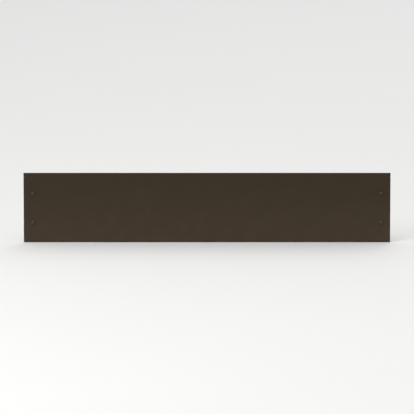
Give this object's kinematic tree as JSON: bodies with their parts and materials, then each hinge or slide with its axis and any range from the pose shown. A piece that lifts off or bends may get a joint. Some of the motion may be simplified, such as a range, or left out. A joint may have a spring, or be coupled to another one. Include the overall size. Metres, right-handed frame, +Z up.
{
  "type": "door kick plate",
  "caption": "Folded sheet kick plate for the foot of a door, with hemmed edges, a return under the leaf, bonding tapes, edge seals and washered screws.",
  "frame": {"origin": "on the door leaf's face, at the middle of the plate's width and height", "axes": "+X along the plate's width, to the right for a person who faces the door; +Y into the leaf, away from that person; +Z up"},
  "size_m": [0.825, 0.0274, 0.158],
  "materials": {
    "brown_topcoat": "smooth dark brown coil coating, satin",
    "screw_enamel": "brown enamelled head, satin",
    "washer_enamel": "brown enamel, satin",
    "pad_rubber": "black sealing rubber, matte",
    "seal_rubber": "black cellular rubber, matte",
    "tape_foam": "dark grey acrylic foam, matte"
  },
  "bodies": {
    "root": {"face_plate": "brown_topcoat", "face_screws": "screw_enamel", "screw_washers": "washer_enamel", "washer_pads": "pad_rubber", "top_seal": "seal_rubber", "left_seal": "seal_rubber", "right_seal": "seal_rubber", "upper_bonding_tape": "tape_foam", "middle_bonding_tape": "tape_foam", "lower_bonding_tape": "tape_foam"}
  },
  "joints": []
}
